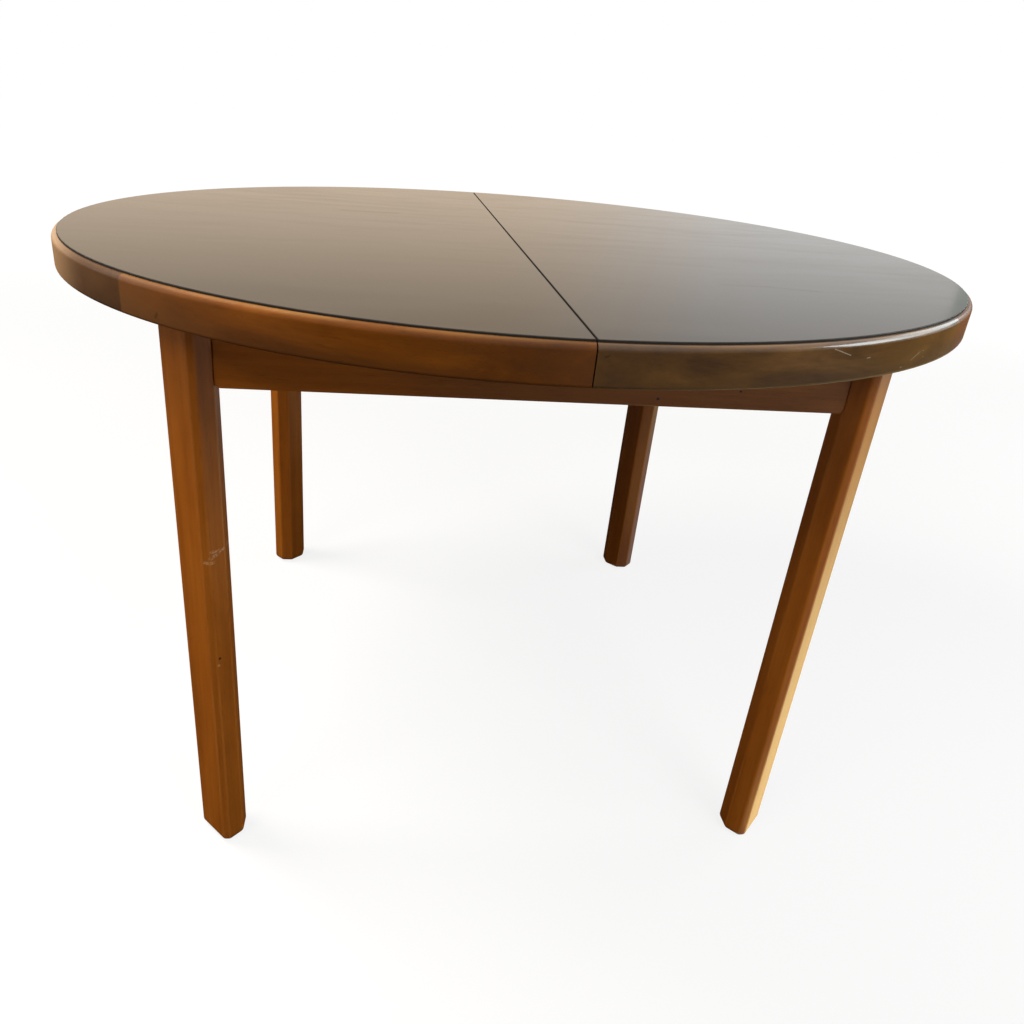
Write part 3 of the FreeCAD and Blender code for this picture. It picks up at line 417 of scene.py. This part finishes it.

# Edge bands: segments of stained hardwood butted end to end round each core and turned to a rounded edge
# after gluing. Each is sawn from a straight board, so its grain follows its own chord and its stain took
# its own shade. Hands have rubbed the rounding to a polished gold. The colour is painted darker near the
# seam and towards the bottom of each band, as painted shade, and the left end's tip is painted paler, as a
# painted sheen.

BAND_RADIUS = 0.5734
BAND_TOP = 0.7378
BAND_BOTTOM = 0.7022
TOP_ROUND = 0.006
BOTTOM_ROUND = 0.003
BAND_GLOSS = 0.10
BAND_ROUGH = 0.28
SCUFF_ROUGH = 0.12
UNDERSIDE_ROUGH = 0.3
COAT_ROUGH = 0.10
PALE_SHARE = 0.30
DARK_SHARE = 0.5
SHADE_SHARE = 0.62
BAND_RUBBED = (0.29, 0.140, 0.034, 1)
BAND_FADED = (0.092, 0.038, 0.0125, 1)
BAND_PAINTED_SHEEN = (0.26, 0.150, 0.078, 1)
BAND_PAINTED_SHADE = (0.022, 0.010, 0.005, 1)
BAND_PALE = (0.70, 0.62, 0.48, 1)
# Where painted shade, wear and painted sheen lie, by the distance from the seam in metres: from, to, and
# its share at either end. The painted sheen at the tip also ends towards the back, by Y
SEAM_PAINTED_SHADE = (0.0, 0.26, 0.72, 0.0)
SEAM_GRIP = (0.0, 0.30, 0.35, 1.0)
END_GRIP = (0.34, 0.43, 1.0, 0.25)
FADE_FROM = 0.26
FADE_TO = 0.42
TIP_FROM = 0.45
TIP_TO = 0.53
TIP_FADE = (-0.20, -0.08, 1.0, 0.0)


def on_band(angle, height):
    """A place on the unrolled band, from the angle round the table in degrees and the height."""
    return (math.radians(angle) * BAND_RADIUS, 0.0, height)


def band_wood(name, heading, dark, light, rubbed=0.75, polish=0.35, mottle=0.42, faded=0.0,
              pale_marks=(), dark_marks=(), painted_tip_sheen=0.0):
    """Mottled stained wood with its grain along the chord of a segment that faces a heading in degrees."""
    material, net, shader, place = start_material(name)
    turned = net.add("ShaderNodeVectorRotate", {"rotation_type": "Z_AXIS"}, Vector=place,
                     Angle=math.radians(90 - heading)).outputs[0]
    grain = use(net, WOOD_GRAIN, Place=turned, Dark=dark, Light=light, Streak=0.34, Blotch=mottle,
                Pores=0.35)
    spot = net.split(place)
    aside = net.math("ABSOLUTE", spot["X"])
    patchy = net.ramp(net.noise(place, 22.0, 4.0, 0.6), 0.2, 0.8, 0.75, 1.0)
    # Painted shade: the colour darkens near the seam and towards the bottom of the band.
    seam_shade = net.math("MULTIPLY", net.ramp(aside, *SEAM_PAINTED_SHADE), patchy)
    shade = net.ramp(spot["Z"], BAND_TOP - TOP_ROUND, BAND_BOTTOM, 0.0, SHADE_SHARE)
    colour = net.mix(net.math("MAXIMUM", seam_shade, shade), grain["Colour"], BAND_PAINTED_SHADE)
    round_edge = net.ramp(spot["Z"], BAND_TOP - TOP_ROUND, BAND_TOP - 0.2 * TOP_ROUND)
    colour = net.mix(net.ramp(aside, FADE_FROM, FADE_TO, 0.0, faded), colour, BAND_FADED)
    # Painted sheen: the tip of the band is painted paler, where light catches it.
    if painted_tip_sheen:
        tip_sheen = net.math("MULTIPLY", net.ramp(aside, TIP_FROM, TIP_TO, 0.0, painted_tip_sheen),
                       net.ramp(spot["Y"], *TIP_FADE))
        colour = net.mix(tip_sheen, colour, BAND_PAINTED_SHEEN)
    rim = net.ramp(spot["Z"], BAND_TOP - 0.5 * TOP_ROUND, BAND_TOP)
    reached = net.math("MULTIPLY", net.ramp(aside, *SEAM_GRIP), net.ramp(aside, *END_GRIP))
    handled = net.math("MULTIPLY", rim, reached)
    wear = use(net, HAND_WEAR, Place=place, Edge=handled, Amount=rubbed)
    colour = net.mix(wear["Worn"], colour, BAND_RUBBED)
    angle = net.math("ARCTAN2", spot["Y"], spot["X"])
    flat = net.join(net.math("MULTIPLY", angle, BAND_RADIUS), 0.0, spot["Z"])
    if pale_marks:
        scratched = net.math("MULTIPLY", strokes(net, flat, pale_marks), PALE_SHARE)
        colour = net.mix(scratched, colour, BAND_PALE)
    if dark_marks:
        stained = net.math("MULTIPLY", strokes(net, flat, dark_marks), DARK_SHARE)
        colour = net.mix(stained, colour, STAIN_BLACK)
    net.feed(shader, "Base Color", colour)
    film = net.math("MULTIPLY_ADD", wear["Scuff"], SCUFF_ROUGH, BAND_ROUGH)
    underside = net.ramp(spot["Z"], BAND_BOTTOM + BOTTOM_ROUND, BAND_BOTTOM + 0.5 * BOTTOM_ROUND,
                         0.0, UNDERSIDE_ROUGH)
    net.feed(shader, "Roughness", net.math("ADD", film, underside))
    shader.inputs["Specular IOR Level"].default_value = BAND_GLOSS
    net.feed(shader, "Coat Weight", net.math("MULTIPLY", round_edge, polish))
    shader.inputs["Coat Roughness"].default_value = COAT_ROUGH
    bump(net, shader, grain["Height"], GRAIN_DEPTH, 0.3)
    return material


GOLDEN_DARK = (0.085, 0.0225, 0.0010, 1)
GOLDEN_LIGHT = (0.205, 0.0600, 0.0035, 1)
OLIVE_DARK = (0.040, 0.0165, 0.0030, 1)
OLIVE_LIGHT = (0.165, 0.0760, 0.0140, 1)
UMBER_DARK = (0.036, 0.0145, 0.0050, 1)
UMBER_LIGHT = (0.084, 0.0350, 0.0120, 1)
RUSSET_DARK = (0.075, 0.0230, 0.0060, 1)
RUSSET_LIGHT = (0.200, 0.0720, 0.0240, 1)
KNOT = [(on_band(-128.9, 0.7095), on_band(-128.7, 0.7125), 0.0018)]
SEAM_NICK = [(on_band(-89.3, 0.7280), on_band(-89.0, 0.7292), 0.0010)]
CHAIR_SCRATCHES = [
    (on_band(-68.7, 0.7328), on_band(-66.6, 0.7262), 0.0004),
    (on_band(-64.3, 0.7220), on_band(-63.9, 0.7222), 0.0005),
    (on_band(-58.5, 0.7078), on_band(-58.4, 0.7077), 0.0006),
    (on_band(-56.9, 0.7122), on_band(-55.5, 0.7186), 0.0004),
    (on_band(-54.9, 0.7190), on_band(-54.8, 0.7188), 0.0006),
    (on_band(-54.5, 0.7128), on_band(-54.4, 0.7126), 0.0005),
]
dress(band_wood("left front band", 247.5, GOLDEN_DARK, GOLDEN_LIGHT, mottle=0.75, faded=0.75,
                dark_marks=KNOT), "left_front_band")
dress(band_wood("right front band", 292.5, OLIVE_DARK, OLIVE_LIGHT, rubbed=0.45, polish=1.0, mottle=0.9,
                pale_marks=CHAIR_SCRATCHES, dark_marks=SEAM_NICK), "right_front_band")
dress(band_wood("left end band", 180.0, UMBER_DARK, UMBER_LIGHT, rubbed=0.15, painted_tip_sheen=1.0),
      "left_end_band")
dress(band_wood("right end band", 0.0, RUSSET_DARK, RUSSET_LIGHT, rubbed=0.25, polish=0.25),
      "right_end_band")
dress(band_wood("left back band", 112.5, GOLDEN_DARK, GOLDEN_LIGHT), "left_back_band")
dress(band_wood("right back band", 67.5, OLIVE_DARK, OLIVE_LIGHT), "right_back_band")
dress(band_wood("leaf band", 90.0, GOLDEN_DARK, GOLDEN_LIGHT, rubbed=0.3),
      "leaf_lower_band", "leaf_upper_band")

# Surface sheets: a dark brown laminate, two millimetres thick, pressed on each core and trimmed to a
# crisp black edge. It is semi-gloss, with faint streaks across the seam and the hazy marks of a wet
# cloth.

SHEET_DARK = (0.016, 0.0120, 0.0083, 1)
SHEET_LIGHT = (0.027, 0.0212, 0.0155, 1)
SHEET_EDGE = (0.006, 0.005, 0.004, 1)
SHEET_STREAKS = (5.0, 34.0, 34.0)
SHEET_HAZE = (4.0, 11.0, 11.0)
STREAK_SHARE = 0.4
HAZE_SHARE = 0.6
EDGE_TILT = 0.3
FACE_TILT = 0.8
SEAM_FROM = 0.0016
SEAM_TO = 0.0011
SHEET_ROUGH = 0.10
TONE_ROUGH = 0.07
WIPE_ROUGH = 0.055
EDGE_ROUGH = 0.6
SHEET_IOR = 1.40
CLOTH_WIPES = [
    ((-0.236, 0.136, 0), (-0.153, 0.140, 0), 0.006),
    ((0.193, -0.312, 0), (0.245, -0.310, 0), 0.004),
    ((0.245, -0.310, 0), (0.296, -0.322, 0), 0.004),
    ((-0.067, -0.461, 0), (-0.065, -0.461, 0), 0.003),
]
material, net, shader, place = start_material("surface sheet")
streaks = net.noise(net.vector("MULTIPLY", place, SHEET_STREAKS), 1.0, 4.0, 0.6, 0.5)
haze = net.noise(net.vector("MULTIPLY", place, SHEET_HAZE), 1.0, 5.0, 0.6, 0.8)
tone = net.math("MULTIPLY_ADD", streaks, STREAK_SHARE, net.math("MULTIPLY", haze, HAZE_SHARE))
face = net.mix(net.ramp(tone, 0.35, 0.65), SHEET_DARK, SHEET_LIGHT)
level = net.math("ABSOLUTE", facing(net)["Z"])
face = net.mix(net.ramp(level, EDGE_TILT, FACE_TILT), SHEET_EDGE, face)
spot = net.split(place)
seam = net.ramp(net.math("ABSOLUTE", spot["X"]), SEAM_FROM, SEAM_TO)
net.feed(shader, "Base Color", net.mix(seam, face, SHEET_EDGE))
flat = net.join(spot["X"], spot["Y"], 0.0)
wipes = strokes(net, flat, CLOTH_WIPES)
film = net.math("MULTIPLY_ADD", net.ramp(tone, 0.36, 0.66), TONE_ROUGH, SHEET_ROUGH)
film = net.math("MULTIPLY_ADD", wipes, WIPE_ROUGH, film)
dull = net.math("MAXIMUM", seam, net.ramp(level, FACE_TILT, EDGE_TILT))
net.feed(shader, "Roughness", net.math("MULTIPLY_ADD", dull, EDGE_ROUGH, film))
shader.inputs["IOR"].default_value = SHEET_IOR
bump(net, shader, net.noise(place, 260.0, 2.0), 0.0001, 0.12)
dress(material, "left_surface", "right_surface", "leaf_lower_surface", "leaf_upper_surface")

# Studio: a white floor that fades into a white room, and six soft lamps that the gloss doesn't mirror.
# It mirrors boards that light nothing: a wall behind, beige to grey with a dark doorway at its end,
# brown flags at the sides, two cards on the floor and a bright window at the right.


def stage_sheet(name, corners_of_sheet):
    """A flat studio sheet that isn't part of the table."""
    mesh = bpy.data.meshes.new(name)
    mesh.from_pydata(corners_of_sheet, [], [tuple(range(len(corners_of_sheet)))])
    sheet = bpy.data.objects.new(name.replace(" ", "_"), mesh)
    bpy.context.scene.collection.objects.link(sheet)
    return sheet


def seen_white(net):
    """One for rays from the camera, a mirror or glass, so that these meet a white studio."""
    path = net.add("ShaderNodeLightPath").outputs
    seen = net.math("MAXIMUM", path["Is Camera Ray"], path["Is Glossy Ray"])
    return net.math("MAXIMUM", seen, path["Is Transmission Ray"])


FLOOR_HALF = 40.0
FLOOR_GREY = (0.10, 0.10, 0.10, 1)
FLOOR_GLOW = 0.84
FLOOR_FADE = (1.0, 5.0)
floor = stage_sheet("studio floor", [
    (-FLOOR_HALF, -FLOOR_HALF, 0), (FLOOR_HALF, -FLOOR_HALF, 0),
    (FLOOR_HALF, FLOOR_HALF, 0), (-FLOOR_HALF, FLOOR_HALF, 0)])
material, net, shader, place = start_material("studio floor")
shader.inputs["Base Color"].default_value = FLOOR_GREY
shader.inputs["Roughness"].default_value = 0.9
shader.inputs["Specular IOR Level"].default_value = 0.0
shader.inputs["Emission Color"].default_value = (1, 1, 1, 1)
reach = net.vector("LENGTH", place, result="Value")
glow = net.ramp(reach, *FLOOR_FADE, FLOOR_GLOW, 1.0)
net.feed(shader, "Emission Strength", net.math("MULTIPLY", seen_white(net), glow))
floor.data.materials.append(material)


def mirrored_board(name, corners_of_board):
    """A glowing board that only the table's gloss mirrors: it gives no light or shade and isn't seen."""
    board = stage_sheet(name, corners_of_board)
    material, net, shader, place = start_material(name)
    shader.inputs["Base Color"].default_value = (0, 0, 0, 1)
    shader.inputs["Specular IOR Level"].default_value = 0.0
    shader.inputs["Emission Strength"].default_value = 1.0
    board.data.materials.append(material)
    board.visible_camera = False
    board.visible_diffuse = False
    board.visible_shadow = False
    return net, shader, place


WALL_AWAY = 4.0
WALL_HALF = 9.0
WALL_TOP = 4.0
WALL_BEIGE = (0.93, 0.75, 0.57, 1)
WALL_GREY = (0.91, 0.90, 0.88, 1)
WALL_DOORWAY = (0.56, 0.61, 0.57, 1)
WALL_TURN = (0.4, 2.4)
DOORWAY_EDGE = (3.58, 3.62)
WALL_DIMMING = (1.0, 2.2, 1.0, 0.72)
net, shader, place = mirrored_board("mirrored wall", [
    (-WALL_HALF, WALL_AWAY, 0), (WALL_HALF, WALL_AWAY, 0),
    (WALL_HALF, WALL_AWAY, WALL_TOP), (-WALL_HALF, WALL_AWAY, WALL_TOP)])
across = net.split(place)["X"]
paint = net.mix(net.ramp(across, *WALL_TURN), WALL_BEIGE, WALL_GREY)
paint = net.mix(net.ramp(across, *DOORWAY_EDGE), paint, WALL_DOORWAY)
net.feed(shader, "Emission Color", paint)
net.feed(shader, "Emission Strength", net.ramp(net.split(place)["Z"], *WALL_DIMMING))

FLAG_AWAY = 3.0
FLAG_HALF = 4.0
FLAG_TOP = 0.72
LEFT_FLAG = (0.42, 0.30, 0.19, 1)
RIGHT_FLAG = (0.22, 0.13, 0.06, 1)
for name, away, paint in (("left flag", -FLAG_AWAY, LEFT_FLAG), ("right flag", FLAG_AWAY, RIGHT_FLAG)):
    net, shader, place = mirrored_board(name, [
        (away, -FLAG_HALF, 0), (away, FLAG_HALF, 0),
        (away, FLAG_HALF, FLAG_TOP), (away, -FLAG_HALF, FLAG_TOP)])
    shader.inputs["Emission Color"].default_value = paint

CARD_LIFT = 0.002
# The left card is dark: a painted reflection of the shaded floor under and left of the table.
LEFT_CARD_END = 0.34
LEFT_CARD_SHADE = (0.05, 0.02, 0.008, 1)
net, shader, place = mirrored_board("left floor card", [
    (-FLAG_AWAY, -FLAG_HALF, CARD_LIFT), (LEFT_CARD_END, -FLAG_HALF, CARD_LIFT),
    (LEFT_CARD_END, FLAG_HALF, CARD_LIFT), (-FLAG_AWAY, FLAG_HALF, CARD_LIFT)])
shader.inputs["Emission Color"].default_value = LEFT_CARD_SHADE
RIGHT_CARD_OUTLINE = [(0.36, -0.5), (2.9, -0.5), (2.9, 1.2), (1.25, 1.0), (1.25, 0.45), (0.36, 0.1)]
RIGHT_CARD = (1.0, 0.82, 0.38, 1)
RIGHT_CARD_DIMMING = (0.5, 2.2, 3.4, 1.2)
net, shader, place = mirrored_board("right floor card", [
    (x, y, CARD_LIFT) for x, y in RIGHT_CARD_OUTLINE])
shader.inputs["Emission Color"].default_value = RIGHT_CARD
net.feed(shader, "Emission Strength", net.ramp(net.split(place)["X"], *RIGHT_CARD_DIMMING))

WINDOW_AWAY = 2.6
WINDOW_SILL = 1.2
WINDOW_TOP = 2.2
WINDOW_NEAR = -1.05
WINDOW_FAR = 1.6
WINDOW_BLUE = (0.86, 0.96, 1.0, 1)
WINDOW_DIMMING = (WINDOW_NEAR, 0.4, 12.0, 2.4)
net, shader, place = mirrored_board("mirrored window", [
    (WINDOW_AWAY, WINDOW_NEAR, WINDOW_SILL), (WINDOW_AWAY, WINDOW_FAR, WINDOW_SILL),
    (WINDOW_AWAY, WINDOW_FAR, WINDOW_TOP), (WINDOW_AWAY, WINDOW_NEAR, WINDOW_TOP)])
shader.inputs["Emission Color"].default_value = WINDOW_BLUE
net.feed(shader, "Emission Strength", net.ramp(net.split(place)["Y"], *WINDOW_DIMMING))

ROOM_WARM = (1.0, 0.94, 0.85, 1)
ROOM_FILL = 0.06
world = bpy.data.worlds.new("studio room")
bpy.context.scene.world = world
world.use_nodes = True
net = Net(world.node_tree)
background = world.node_tree.nodes["Background"]
seen = seen_white(net)
net.feed(background, "Color", net.mix(seen, ROOM_WARM, (1, 1, 1, 1)))
net.feed(background, "Strength", net.math("MULTIPLY_ADD", seen, 1.0 - ROOM_FILL, ROOM_FILL))

LAMP_AIM = Vector((0.0, 0.0, 0.5))
LAMP_WARM = (1.0, 0.94, 0.82)
LAMP_WHITE = (1.0, 1.0, 1.0)
LAMP_COOL = (0.90, 0.96, 1.0)


def soft_lamp(name, place, width, height, power, colour):
    """A soft rectangular lamp that faces the table's middle and isn't mirrored in it."""
    light = bpy.data.lights.new(name, "AREA")
    light.shape = "RECTANGLE"
    light.size = width
    light.size_y = height
    light.energy = power
    light.color = colour
    lamp = bpy.data.objects.new(name, light)
    lamp.location = place
    aim = LAMP_AIM - Vector(place)
    lamp.rotation_euler = aim.to_track_quat("-Z", "Y").to_euler()
    lamp.visible_glossy = False
    bpy.context.scene.collection.objects.link(lamp)


soft_lamp("window lamp", (2.5, 0.6, 1.4), 1.3, 1.0, 22.0, LAMP_COOL)
soft_lamp("high left lamp", (-1.8, 0.35, 2.6), 1.2, 1.0, 130.0, LAMP_WARM)
soft_lamp("front left lamp", (-1.8, -2.0, 2.6), 1.2, 1.0, 48.0, LAMP_WARM)
soft_lamp("front right lamp", (1.2, -2.2, 2.6), 1.2, 1.0, 54.0, LAMP_WHITE)
soft_lamp("low left lamp", (-1.8, -0.8, 0.5), 1.6, 0.8, 10.0, LAMP_WARM)
soft_lamp("low right lamp", (1.3, -0.9, 0.6), 0.6, 0.8, 6.5, LAMP_WHITE)

# Camera: where the photograph was taken from, close by and a little above the table's top. Its lens,
# shift and roll are those with which the rim, the seam and the legs fall where the photograph has them.

CAMERA_PLACE = (-0.15449, -1.15363, 0.89027)
CAMERA_LOOK = Vector((0.089303, 0.902594, -0.421129))
CAMERA_ROLL = 0.07343
camera_data = bpy.data.cameras.new("camera")
camera_data.sensor_width = 36.0
camera_data.lens = 28.1442
camera_data.shift_x = 0.05122
camera_data.shift_y = -0.02893
camera_data.clip_end = 200.0
camera = bpy.data.objects.new("camera", camera_data)
camera.location = CAMERA_PLACE
look = CAMERA_LOOK.to_track_quat("-Z", "Y")
roll = Quaternion((0, 0, 1), CAMERA_ROLL)
camera.rotation_mode = "QUATERNION"
camera.rotation_quaternion = look @ roll
bpy.context.scene.collection.objects.link(camera)
bpy.context.scene.camera = camera
bpy.context.scene.view_settings.view_transform = "Standard"
